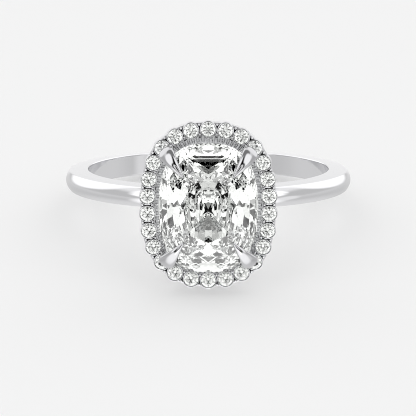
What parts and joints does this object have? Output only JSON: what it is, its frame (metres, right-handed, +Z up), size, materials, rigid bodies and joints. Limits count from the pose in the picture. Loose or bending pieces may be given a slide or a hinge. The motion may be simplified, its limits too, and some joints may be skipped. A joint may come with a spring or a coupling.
{
  "type": "halo ring",
  "caption": "Finger ring with an oblong cushion-cut stone in four claws, a halo of small round brilliants and a plain polished band.",
  "frame": {"origin": "centre of the finger hole", "axes": "+Z up from the surface that the ring lies on, -Y towards the head with its stones, +X across the head; the finger hole leans 13.38 degrees off +Z towards +Y"},
  "size_m": [0.0204, 0.0251, 0.0116],
  "materials": {
    "white_gold": "polished, rhodium plated white gold",
    "centre_diamond": "polished facets, colourless",
    "halo_diamond": "polished facets, colourless"
  },
  "bodies": {
    "root": {"setting": "white_gold", "centre_stone": "centre_diamond", "halo_stone_01": "halo_diamond", "halo_stone_02": "halo_diamond", "halo_stone_03": "halo_diamond", "halo_stone_04": "halo_diamond", "halo_stone_05": "halo_diamond", "halo_stone_06": "halo_diamond", "halo_stone_07": "halo_diamond", "halo_stone_08": "halo_diamond", "halo_stone_09": "halo_diamond", "halo_stone_10": "halo_diamond", "halo_stone_11": "halo_diamond", "halo_stone_12": "halo_diamond", "halo_stone_13": "halo_diamond", "halo_stone_14": "halo_diamond", "halo_stone_15": "halo_diamond", "halo_stone_16": "halo_diamond", "halo_stone_17": "halo_diamond", "halo_stone_18": "halo_diamond", "halo_stone_19": "halo_diamond", "halo_stone_20": "halo_diamond", "halo_stone_21": "halo_diamond", "halo_stone_22": "halo_diamond", "halo_stone_23": "halo_diamond", "halo_stone_24": "halo_diamond", "halo_stone_25": "halo_diamond", "halo_stone_26": "halo_diamond"}
  },
  "joints": []
}
